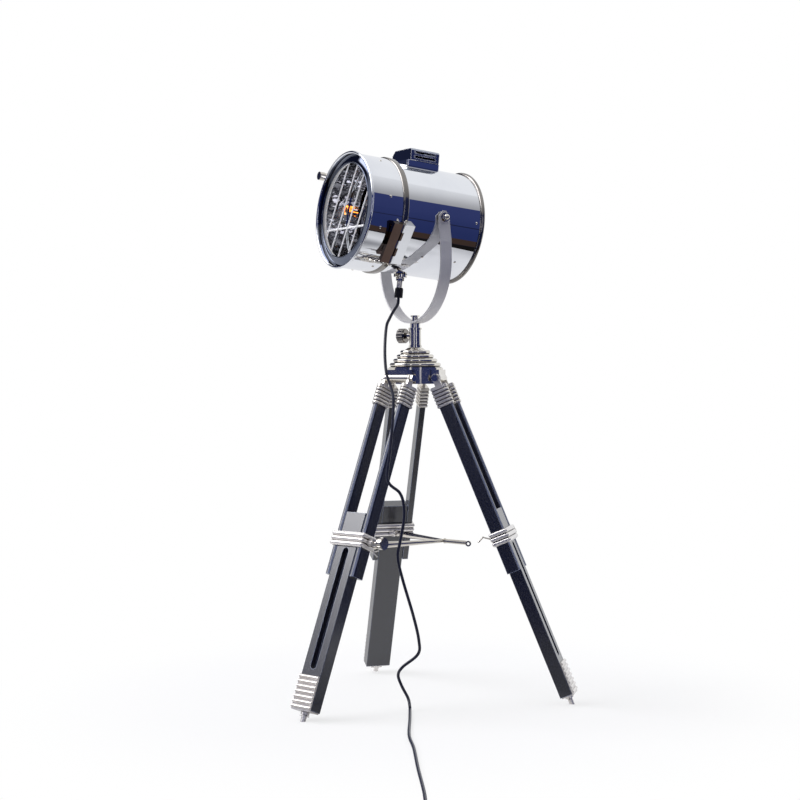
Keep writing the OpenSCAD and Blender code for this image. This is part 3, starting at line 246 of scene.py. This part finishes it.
# ------------------------------------------------------------------ material helpers
class Nodes:
    """A short way to write a node tree."""

    def __init__(self, tree):
        self.tree = tree
        tree.nodes.clear()

    def feed(self, socket, value):
        """Sets a socket to a value, or links another node's socket to it."""
        if isinstance(value, bpy.types.NodeSocket):
            self.tree.links.new(value, socket)
        else:
            socket.default_value = value

    def add(self, kind, inputs=None, **settings):
        """A node with its settings and inputs."""
        node = self.tree.nodes.new(kind)
        for key, value in settings.items():
            setattr(node, key, value)
        for key, value in (inputs or {}).items():
            self.feed(node.inputs[key], value)
        return node

    def math(self, operation, a, b=0.0, c=0.0):
        return self.add("ShaderNodeMath", {0: a, 1: b, 2: c}, operation=operation).outputs[0]

    def vector(self, operation, a, b=(0, 0, 0)):
        """A vector operation: its vector, or its number where that is what it gives."""
        node = self.add("ShaderNodeVectorMath", {0: a, 1: b}, operation=operation)
        return node.outputs["Value" if operation in ("DOT_PRODUCT", "LENGTH") else "Vector"]

    def rest(self, share):
        """What a share leaves of 1."""
        return self.math("SUBTRACT", 1.0, share)

    def scaled(self, share, span, start):
        """Start, and up to span more as share goes from 0 to 1."""
        return self.math("MULTIPLY_ADD", share, span, start)

    def step(self, value, low, high):
        """0 below low, 1 above high, smooth between them."""
        return self.add("ShaderNodeMapRange", {"Value": value, "From Min": low, "From Max": high},
                        interpolation_type="SMOOTHSTEP").outputs["Result"]

    def between(self, value, low, high, soft):
        """1 where value lies between low and high, with both ends softened."""
        return self.math("MULTIPLY", self.step(value, low - soft, low + soft),
                         self.rest(self.step(value, high - soft, high + soft)))

    def mix(self, share, a, b):
        """The colour a, giving way to b as share goes from 0 to 1."""
        node = self.add("ShaderNodeMix", data_type="RGBA")
        factor, first, second = node.inputs[0], node.inputs[6], node.inputs[7]
        for socket, value in ((factor, share), (first, a), (second, b)):
            self.feed(socket, value)
        return node.outputs[2]

    def place(self):
        """The point's place in the shared frame, since every object sits at the origin."""
        return self.add("ShaderNodeTexCoord").outputs["Object"]

    def geometry(self, output):
        return self.add("ShaderNodeNewGeometry").outputs[output]

    def seen_directly(self):
        """1 for what the camera sees itself or through glass, 0 for what lights or is mirrored."""
        path = self.add("ShaderNodeLightPath").outputs
        return self.math("MAXIMUM", path["Is Camera Ray"], path["Is Transmission Ray"])

    def noise(self, scale, detail=3.0, rough=0.55, stretch=None):
        where = self.place()
        if stretch:
            where = self.add("ShaderNodeMapping", {"Vector": where, "Scale": stretch}).outputs[0]
        return self.add("ShaderNodeTexNoise", {"Vector": where, "Scale": scale, "Detail": detail,
                                               "Roughness": rough}).outputs["Fac"]

    def bump(self, height, strength, distance):
        inputs = {"Height": height, "Strength": strength, "Distance": distance}
        return self.add("ShaderNodeBump", inputs).outputs[0]

    def edge(self, radius):
        """1 along an outside or inside edge, 0 on an open face, where rounding the edges by this
        radius leaves the normal alone."""
        rounded = self.add("ShaderNodeBevel", {"Radius": radius}, samples=6).outputs[0]
        alike = self.vector("DOT_PRODUCT", rounded, self.geometry("Normal"))
        return self.rest(self.step(alike, 0.82, 0.97))

    def crevice(self, reach, alone=True):
        """1 in a groove or corner that is closer than reach all round, 0 on an open face.
        Unless alone, other pieces close it in as well."""
        near = self.add("ShaderNodeAmbientOcclusion", {"Distance": reach}, samples=8, only_local=alone)
        return self.rest(self.step(near.outputs["AO"], 0.35, 0.85))


def rgb(r, g, b):
    """An sRGB colour of 0 to 255 as linear RGBA."""
    def linear(v):
        v /= 255
        return v / 12.92 if v <= 0.04045 else ((v + 0.055) / 1.055) ** 2.4
    return (linear(r), linear(g), linear(b), 1.0)


def new_material(name):
    material = bpy.data.materials.new(name)
    material.use_nodes = True
    return material, Nodes(material.node_tree)


def surface(n, **inputs):
    """The Principled surface and its output. Underscores in the names stand for spaces."""
    shader = n.add("ShaderNodeBsdfPrincipled", {k.replace("_", " "): v for k, v in inputs.items()})
    n.add("ShaderNodeOutputMaterial", {"Surface": shader.outputs[0]})


def hazed(n, light, dark, detail=4.0):
    """A light tone that goes a little darker in soft clouds."""
    return n.mix(n.step(n.noise(9.0, detail), 0.35, 0.75), light, dark)


def rippled(n, strength):
    """The faint wide waves of a polished surface."""
    return n.bump(n.noise(6.0, 2.0), strength, 0.01)


def scuffs(n):
    """The fine uneven wear in a gloss."""
    return n.noise(240.0, 5.0, 0.7)


# ------------------------------------------------------------------ materials
# the dark colour of painted shade in grooves and corners
CREVICE_SHADE = rgb(62, 52, 48)


def plated(name, light, dark, rough, ripple=0.02, crevice_shade=None, alone=True, metal=1.0):
    """A polished plated metal: a little tone from haze, fine scuffs in its gloss and a faint ripple.
    With crevice_shade, grooves and inner corners take that colour as painted shade, also beside other pieces
    unless alone.
    Under 1, metal lets the rest of it scatter light, as a casting's fine skin does."""
    m, n = new_material(name)
    colour = hazed(n, light, dark)
    # painted shade: grooves and corners darkened by how closed in they are
    if crevice_shade:
        colour = n.mix(n.crevice(0.004, alone), colour, crevice_shade)
    surface(n, Base_Color=colour, Metallic=metal,
            Roughness=n.scaled(n.step(scuffs(n), 0.55, 0.8), rough * 0.8, rough),
            Normal=rippled(n, ripple))
    return m


def folded_sheet(name, light, dark):
    """Polished sheet whose cut and folded edges carry a painted highlight: near white there, and not metal."""
    m, n = new_material(name)
    # painted highlight along the edges
    edge_highlight = n.edge(0.003)
    surface(n, Base_Color=n.mix(edge_highlight, hazed(n, light, dark), rgb(252, 252, 254)),
            Metallic=n.rest(edge_highlight), Roughness=n.scaled(edge_highlight, 0.3, 0.03), Normal=rippled(n, 0.02))
    return m


def brushed(name, light, dark, stretch, rough=0.2, metal=1.0):
    """Satin metal whose brush lines run along the axes with a small stretch. Metal is as in plated."""
    m, n = new_material(name)
    lines = n.noise(55.0, 6.0, 0.75, stretch)
    blotch = n.noise(14.0, 3.0)
    tone = n.math("MULTIPLY_ADD", lines, 0.6, n.math("MULTIPLY", blotch, 0.4))
    surface(n, Base_Color=n.mix(n.step(tone, 0.35, 0.65), light, dark), Metallic=metal,
            Roughness=n.scaled(lines, 0.14, rough), Normal=n.bump(lines, 0.12, 0.0004))
    return m


def lacquered_wood(name, across=None):
    """Dark lacquer over wood: the grain shows as a faint relief, and the gloss is uneven.
    Its edges take a pale painted highlight, and with the direction across a leg, so do its rails' round edges."""
    m, n = new_material(name)
    upright = (9, 9, 1)
    grain = n.noise(26.0, 6.0, 0.7, upright)
    pores = n.noise(160.0, 3.0, 0.6, upright)
    cloud = n.noise(5.0, 3.0)
    tone = n.mix(n.step(grain, 0.3, 0.72), rgb(12, 15, 30), rgb(20, 23, 40))
    tone = n.mix(n.math("MULTIPLY", n.step(cloud, 0.45, 0.75), 0.5), tone, rgb(26, 29, 46))
    # painted highlight: pale along edges, and along the rails' rounded sides where across is given
    edge_highlight = n.edge(0.0035)
    if across:
        lean = n.math("ABSOLUTE", n.vector("DOT_PRODUCT", n.geometry("Normal"), across))
        edge_highlight = n.math("MAXIMUM", edge_highlight, n.between(lean, 0.3, 0.85, 0.08))
    surface(n, Base_Color=n.mix(edge_highlight, tone, rgb(128, 136, 160)),
            Roughness=n.scaled(n.step(pores, 0.4, 0.7), 0.06, 0.22),
            Specular_IOR_Level=1.0, Coat_Weight=0.5, Coat_Roughness=0.12,
            Normal=n.bump(grain, 0.02, 0.0003))
    return m


def bars_painted_glow(name):
    """Bright round bars: nearly white as a painted highlight, with fine draw lines along them, and a weak glow of
    painted light.
    """
    m, n = new_material(name)
    lines = n.noise(300.0, 4.0, 0.7, (1, 1, 0.1))
    # painted highlight and painted light: near-white colour and a weak white glow
    surface(n, Base_Color=n.mix(n.step(lines, 0.35, 0.7), rgb(250, 250, 250), rgb(240, 240, 243)),
            Roughness=n.scaled(lines, 0.1, 0.2), Specular_IOR_Level=1.0,
            Emission_Color=(1, 1, 1, 1), Emission_Strength=0.22, Normal=n.bump(lines, 0.06, 0.0002))
    return m


def ribbed_ferrule(name, leg):
    """A cast ferrule: polished metal, ribbed across the leg from a little below its hinge.
    The troughs between its ribs are painted dark as painted shade.
    """
    m, n = new_material(name)
    rib_at, rib_pitch, ribs_from = 0.05955, 0.007667, (0.022, 0.026)
    below = n.vector("SUBTRACT", n.place(), JOINTS[f"leg_{leg}_fold"]["pos_m"])
    along = n.vector("DOT_PRODUCT", below, JOINTS[f"leg_{leg}_slide"]["axis"])
    turns = n.math("MULTIPLY", n.math("SUBTRACT", along, rib_at), 2 * math.pi / rib_pitch)
    wave = n.math("COSINE", turns)
    ribbed = n.step(along, *ribs_from)
    ribs = n.math("MULTIPLY", n.scaled(wave, 0.5, 0.5), ribbed)
    # painted shade: the troughs between the ribs take the dark crevice colour
    trough_shade = n.math("MULTIPLY", n.step(n.math("MULTIPLY", wave, -1.0), 0.35, 0.9), ribbed)
    tone = hazed(n, rgb(248, 243, 234), rgb(232, 226, 216))
    surface(n, Base_Color=n.mix(trough_shade, tone, CREVICE_SHADE), Metallic=0.5,
            Roughness=n.scaled(scuffs(n), 0.08, 0.12), Normal=n.bump(ribs, 0.6, 0.0012))
    return m


def moulded(name, colour, rough, grain_scale):
    """Moulded plastic or rubber with a fine matt grain."""
    m, n = new_material(name)
    grain = n.noise(grain_scale, 3.0)
    paler = tuple(min(1.0, c * 1.5) for c in colour[:3]) + (1.0,)
    surface(n, Base_Color=n.mix(n.step(grain, 0.3, 0.7), colour, paler),
            Roughness=n.scaled(grain, 0.16, rough), Specular_IOR_Level=0.45,
            Normal=n.bump(grain, 0.2, 0.0002))
    return m


def clear_glass():
    m, n = new_material("bulb_glass")
    surface(n, Base_Color=(0.98, 0.98, 0.99, 1), Roughness=0.0, IOR=1.45, Transmission_Weight=1.0,
            Normal=n.bump(n.noise(20.0, 1.0), 0.03, 0.001))
    return m


def bulb_cap(name):
    """The bulb's metal, and the lit filament round its stem: bright, and broken up a little."""
    m, n = new_material(name)
    glow, strength = rgb(255, 128, 28), 4.5
    out = n.vector("SUBTRACT", n.place(), PIVOT * MM)
    ahead = n.vector("DOT_PRODUCT", out, HEAD_AHEAD)
    off_axis = n.vector("LENGTH", n.vector("CROSS_PRODUCT", out, HEAD_AHEAD))
    filament = n.math("MULTIPLY", n.step(ahead, -0.004, -0.002), n.step(off_axis, 0.006, 0.007))
    lit = n.math("MULTIPLY", filament, n.step(n.noise(70.0, 1.0), 0.54, 0.57))
    uneven = n.noise(90.0, 2.0)
    tone = hazed(n, rgb(214, 200, 160), rgb(180, 160, 120), 3.0)
    surface(n, Base_Color=n.mix(lit, tone, glow), Metallic=n.rest(lit),
            Roughness=n.scaled(uneven, 0.08, 0.14),
            Emission_Color=n.mix(uneven, glow, rgb(255, 160, 60)),
            Emission_Strength=n.math("MULTIPLY", lit, strength))
    return m


BLACK_PVC = moulded("black_pvc", rgb(24, 27, 46), 0.26, 700.0)
REFLECTOR = plated("hammered_reflector", rgb(158, 156, 158), rgb(96, 94, 98), 0.05, 0.05)
BY_SLOT = {
    # chrome and the nickel casting darken in grooves and corners with painted shade
    "chrome": plated("chrome", rgb(238, 240, 244), rgb(228, 230, 236), 0.02,
                     crevice_shade=rgb(70, 66, 64), alone=False),
    "polished_nickel": plated("polished_nickel", rgb(230, 225, 216), rgb(206, 199, 189), 0.05, 0.05),
    "nickel_casting": plated("nickel_casting", rgb(244, 240, 236), rgb(226, 220, 213), 0.14, 0.05,
                             CREVICE_SHADE, metal=0.7),
    "satin_nickel": brushed("satin_nickel", rgb(240, 238, 237), rgb(220, 217, 216), (1, 40, 1),
                            0.38, 0.15),
    "zinc_plate": brushed("zinc_plate", rgb(170, 172, 176), rgb(140, 142, 148), (1, 1, 12)),
    "hammered_reflector": REFLECTOR,
    "bright_bars": bars_painted_glow("bright_bars"),
    "black_lacquered_wood": lacquered_wood("black_lacquered_wood"),
    "black_pvc": BLACK_PVC,
    "black_rubber": moulded("black_rubber", rgb(20, 20, 27), 0.55, 900.0),
    "black_bakelite": moulded("black_bakelite", rgb(18, 17, 17), 0.25, 500.0),
    "clear_glass": clear_glass(),
    "bulb_metal": bulb_cap("bulb_metal"),
}
# Pieces whose colour differs from the rest of their slot: the bezel, the rims and the door's hinge
# leaf are darker or browner metal as painted reflection, the vent box is a darker chrome with painted
# edge highlights, the crown and the clamp screws are a polished casting with painted shade in its
# grooves, and the ferrules and rails follow their leg.
FOLDED = folded_sheet("folded_chrome", rgb(176, 182, 194), rgb(160, 166, 178))
# painted reflection: darker metal for the bezel and rims, brown metal for the door's hinge leaf
BEZEL_PAINTED_REFLECTION = plated("bezel_painted_reflection", rgb(104, 110, 126), rgb(92, 98, 114), 0.04)
RIMS_PAINTED_REFLECTION = plated("rims_painted_reflection", rgb(150, 146, 142), rgb(112, 108, 104), 0.12)
LEAF_PAINTED_REFLECTION = plated("leaf_painted_reflection", rgb(92, 76, 70), rgb(74, 60, 55), 0.05)
# the polished casting darkens in grooves and corners with painted shade
POLISHED = plated("polished_casting", rgb(230, 225, 216), rgb(208, 202, 192), 0.06, 0.05, CREVICE_SHADE,
                  metal=0.95)
BY_NODE = {"vent_box": FOLDED, "door_bezel": BEZEL_PAINTED_REFLECTION, "door_hinge_leaf": LEAF_PAINTED_REFLECTION}
BY_NODE.update(dict.fromkeys(("rear_cap", "pan_screw", "band_ring"), RIMS_PAINTED_REFLECTION))
BY_NODE.update(dict.fromkeys(("crown_top", "crown_barrel", "crown_lugs"), POLISHED))
for leg in "abc":
    BY_NODE["clamp_screw_" + leg] = POLISHED
    BY_NODE["ferrules_" + leg] = ribbed_ferrule("ferrule_" + leg, leg)
    BY_NODE["rails_" + leg] = lacquered_wood("rail_" + leg, JOINTS[f"leg_{leg}_fold"]["axis"])


def paint(obj, material):
    """One material all over an object."""
    obj.data.materials.clear()
    obj.data.materials.append(material)


def paint_nodes():
    """Each solid gets its own material, or that of its slot."""
    slots = {row["node"]: row["material_slot"] for row in frame["record"]["subparts"]}
    for name, obj in NODES.items():
        paint(obj, BY_NODE.get(name, BY_SLOT[slots[name]]))
    for obj in CORDS:
        paint(obj, BLACK_PVC)


paint_nodes()


# ------------------------------------------------------------------ hammered reflector
def facet_centres(rng, rows, around_at):
    """The middles of the beaten facets as (angle, share of depth), in staggered rows, each a
    little astray."""
    aside, deep = 0.32, 0.06
    centres = []
    for row in range(rows):
        v = (row + 0.5) / rows
        count = around_at(v)
        centres += [((k + rng.uniform(-aside, aside) + 0.5 * (row % 2)) / count * 2 * math.pi,
                     v + rng.uniform(-deep, deep)) for k in range(count)]
    return centres


def make_reflector():
    """The bowl behind the bulb, beaten into shallow facets of uneven size. Lengths are in
    millimetres, and v runs from 0 at the neck to 1 at the mouth."""
    neck, mouth, back, depth, skin = 26.0, 107.6, -22.0, 95.0, 1.0
    rings, around, seed = 54, 200, 7
    rows, facet_width, fewest = 6, 25, 6
    rise, reach, slope = 2.8, 16.0, 0.17        # a facet's middle stands in, and its sides fall back

    def radius(v):
        return neck + (mouth - neck) * v

    def place(angle, v, lift=0.0):
        r = radius(v) - lift
        return Vector((r * math.cos(angle), r * math.sin(angle), back + depth * v * v))

    def around_at(v):
        return max(fewest, round(2 * math.pi * radius(v) / facet_width))

    centres = np.array([place(*c) for c in facet_centres(random.Random(seed), rows, around_at)])
    points = []
    for i in range(rings + 1):
        for k in range(around):
            v, angle = i / rings, 2 * math.pi * k / around
            gaps = np.sqrt(((centres - np.array(place(angle, v))) ** 2).sum(1))
            lift = rise - min(float(gaps.min()), reach) * slope
            points.append(TURNED @ (place(angle, v, lift) * MM))
    bowl = add_mesh("reflector_bowl", points, ring_faces(rings + 1, around))
    sheet = bowl.modifiers.new("sheet", "SOLIDIFY")
    sheet.thickness, sheet.offset = skin * MM, -1.0
    paint(bowl, REFLECTOR)
    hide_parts("reflector")
    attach(bowl, "head")


make_reflector()


# ------------------------------------------------------------------ room and light
def make_world():
    """A white studio as the metal sees it: a pale backdrop behind the lamp, a grey ceiling that
    pales upwards, a dark room behind the camera with two narrow lamps in it, a soft box high on the
    left, and a dark flag at the backdrop's left, which the head's front mirrors.
    Azimuths are in degrees from the camera's own, counted anticlockwise seen from above. Heights
    are the upward part of a direction, from -1 straight down to 1 straight up."""
    world = bpy.data.worlds.new("studio")
    bpy.context.scene.world = world
    world.use_nodes = True
    n = Nodes(world.node_tree)
    ray = n.add("ShaderNodeTexCoord").outputs["Generated"]
    height = n.add("ShaderNodeSeparateXYZ", {0: ray}).outputs["Z"]
    turn = n.math("ARCTAN2", n.vector("DOT_PRODUCT", ray, RIGHT), n.vector("DOT_PRODUCT", ray, BACK))
    azimuth = n.math("MULTIPLY", turn, 180 / math.pi)

    def patch(azimuths, heights, soft_sides, soft_ends):
        return n.math("MULTIPLY", n.between(azimuth, *azimuths, soft_sides),
                      n.between(height, *heights, soft_ends))

    # the backdrop, and on the camera's side the ceiling, with the room under it
    backdrop, ceiling_low = (0.88, 0.89, 0.91, 1), (0.36, 0.36, 0.375, 1)
    navy_low, navy_high = (0.020, 0.030, 0.110, 1), (0.032, 0.043, 0.140, 1)
    line_navy, brown, black = (0.012, 0.014, 0.04, 1), (0.045, 0.028, 0.022, 1), (0.008, 0.007, 0.007, 1)
    camera_side = n.between(azimuth, -94.0, 97.0, 3.0)
    ceiling = n.mix(n.step(height, 0.44, 0.92), ceiling_low, backdrop)
    walls = n.mix(n.step(height, -0.4, 0.4), navy_low, navy_high)
    walls = n.mix(n.between(height, -0.108, -0.088, 0.004), walls, line_navy)
    room = n.mix(n.between(height, -0.617, -0.472, 0.006), walls, brown)
    room = n.mix(n.step(height, -0.622, -0.612), black, room)
    in_room = n.math("MULTIPLY", camera_side, n.rest(n.step(height, 0.460, 0.470)))
    colour = n.mix(in_room, n.mix(camera_side, backdrop, ceiling), room)

    # the flag, the two narrow lamps and the soft box
    flag_navy, lamp_white, box_white = (0.02, 0.025, 0.06, 1), (1.6, 1.6, 1.65, 1), (5.2, 5.2, 5.4, 1)
    lamps_at, lamp_half = (-20.0, 22.0), 3.5
    colour = n.mix(patch((-172.0, -106.0), (0.03, 0.6), 4.0, 0.03), colour, flag_navy)
    for at in lamps_at:
        lamp = patch((at - lamp_half, at + lamp_half), (0.0, 0.40), 0.6, 0.015)
        colour = n.mix(lamp, colour, lamp_white)
    colour = n.mix(patch((-120.0, -66.0), (0.41, 0.88), 2.0, 0.015), colour, box_white)

    # what the camera sees itself is plain white, as in the photograph
    colour = n.mix(n.seen_directly(), colour, (1.0, 1.0, 1.0, 1))
    shader = n.add("ShaderNodeBackground", {"Color": colour, "Strength": 1.0})
    n.add("ShaderNodeOutputWorld", {"Surface": shader.outputs[0]})
    world.cycles.sampling_method = "MANUAL"
    world.cycles.sample_map_resolution = 1024


def make_floor():
    """A pale studio floor: long behind the lamp and to its left in the picture, and ending a little
    in front of it and to its right."""
    near, far, left, right = 0.95, 7.0, 7.0, 0.98
    outline = ((-far, -left), (near, -left), (near, right), (-far, right))
    floor = add_mesh("floor", [BACK * b + RIGHT * w for b, w in outline], [(0, 1, 2, 3)], smooth=False)
    if floor.data.polygons[0].normal.z < 0:
        floor.data.flip_normals()
    m, n = new_material("floor")
    glossy = n.add("ShaderNodeLightPath").outputs["Is Glossy Ray"]
    where = n.geometry("Position")
    away = n.vector("LENGTH", where)
    aside = n.vector("DOT_PRODUCT", where, RIGHT)
    ahead = n.vector("DOT_PRODUCT", where, BACK)
    # the camera sees the floor run into the white behind it, with the lamp's shadow kept near it
    whitened = n.math("MULTIPLY", n.scaled(n.step(away, 0.45, 0.95), 0.3, 0.7), n.seen_directly())
    unlit = n.math("MAXIMUM", whitened, n.math("MULTIPLY", glossy, 0.8))
    # the metal mirrors it with painted shade: pale under the lamp, greyer to the right and dark in front
    pale, grey, dark = (0.80, 0.80, 0.81, 1), (0.48, 0.48, 0.49, 1), (0.14, 0.14, 0.15, 1)
    front = n.math("MULTIPLY", n.step(ahead, 0.0, 0.3), n.rest(n.step(aside, 0.45, 0.7)))
    mirrored = n.mix(front, n.mix(n.step(aside, 0.55, 0.98), pale, grey), dark)
    tone = n.mix(glossy, (1, 1, 1, 1), mirrored)
    diffuse = n.add("ShaderNodeBsdfDiffuse", {"Color": (0.86, 0.86, 0.87, 1)})
    flat = n.add("ShaderNodeEmission", {"Color": tone, "Strength": 1.0})
    mixed = n.add("ShaderNodeMixShader", {0: unlit, 1: diffuse.outputs[0], 2: flat.outputs[0]})
    n.add("ShaderNodeOutputMaterial", {"Surface": mixed.outputs[0]})
    paint(floor, m)


make_world()
make_floor()
bpy.context.scene.view_settings.view_transform = "Standard"
